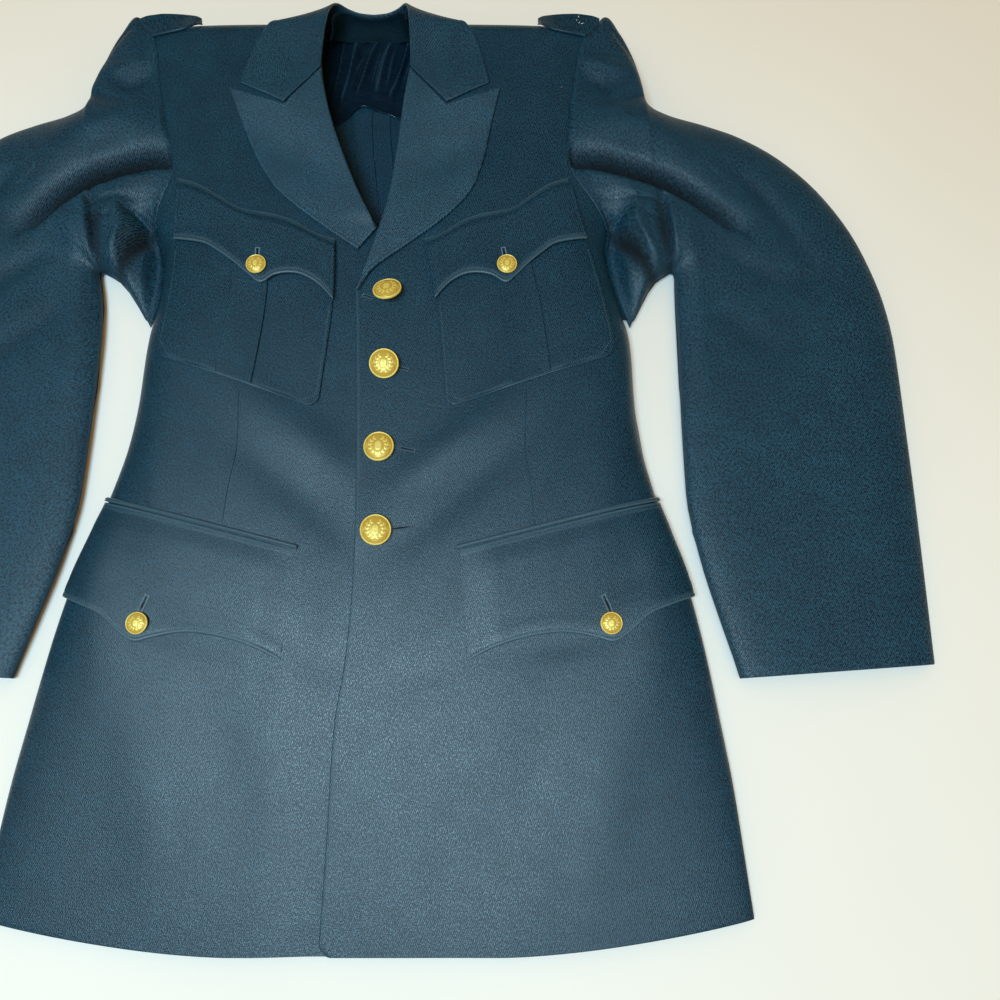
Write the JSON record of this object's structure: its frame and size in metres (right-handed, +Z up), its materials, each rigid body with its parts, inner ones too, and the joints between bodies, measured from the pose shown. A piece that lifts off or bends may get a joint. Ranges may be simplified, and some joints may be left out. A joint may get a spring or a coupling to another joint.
{
  "type": "military dress tunic",
  "caption": "Single-breasted wool dress tunic with notched lapels, flapped pockets and gilt buttons, laid flat on its back.",
  "frame": {"origin": "on the surface that the coat lies on, at the middle of its length and of its width across both sleeves", "axes": "+X to the wearer's left, +Y from the hem to the collar, +Z up from the surface"},
  "size_m": [0.824, 0.7686, 0.0449],
  "materials": {
    "wool_twill": "dark navy wool whipcord, pressed",
    "satin": "black satin",
    "gilt_brass": "gilt, lightly worn"
  },
  "bodies": {
    "root": {"back_left": "wool_twill", "back_right": "wool_twill", "front_left": "wool_twill", "front_right": "wool_twill", "lapel_left": "wool_twill", "lapel_right": "wool_twill", "collar_left": "wool_twill", "collar_right": "wool_twill", "collar_stand": "wool_twill", "half_lining": "satin", "sleeve_left_upper": "wool_twill", "sleeve_left_under": "wool_twill", "sleeve_right_upper": "wool_twill", "sleeve_right_under": "wool_twill", "breast_pocket_left": "wool_twill", "breast_pocket_right": "wool_twill", "breast_pleat_left": "wool_twill", "breast_pleat_right": "wool_twill", "breast_flap_left": "wool_twill", "breast_flap_right": "wool_twill", "lower_flap_left": "wool_twill", "lower_flap_right": "wool_twill", "lower_welt_left": "wool_twill", "lower_welt_right": "wool_twill", "shoulder_loop_left": "wool_twill", "shoulder_loop_right": "wool_twill", "front_button_1": "gilt_brass", "front_button_2": "gilt_brass", "front_button_3": "gilt_brass", "front_button_4": "gilt_brass", "breast_button_left": "gilt_brass", "breast_button_right": "gilt_brass", "lower_button_left": "gilt_brass", "lower_button_right": "gilt_brass"}
  },
  "joints": []
}
